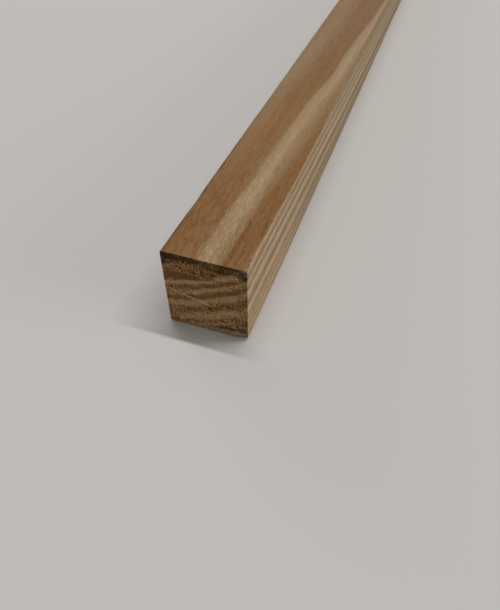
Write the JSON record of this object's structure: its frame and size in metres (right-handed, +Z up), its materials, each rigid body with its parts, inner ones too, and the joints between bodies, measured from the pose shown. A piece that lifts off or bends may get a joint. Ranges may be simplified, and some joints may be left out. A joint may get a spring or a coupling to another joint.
{
  "type": "square timber batten",
  "caption": "Straight length of planed hardwood with a nearly square section, eased long edges and square-sawn ends, used as building or joinery stock.",
  "frame": {"origin": "middle of the underside, the narrower planed face that the batten lies on", "axes": "+Y along the grain, towards the far end; +X across the width; +Z up, from the underside to the top face. The pictured end is at -Y."},
  "size_m": [0.025, 0.6, 0.028],
  "materials": {
    "timber": "planed, bare and unoiled; sawn across the grain at the ends"
  },
  "bodies": {
    "root": {"batten": "timber"}
  },
  "joints": []
}
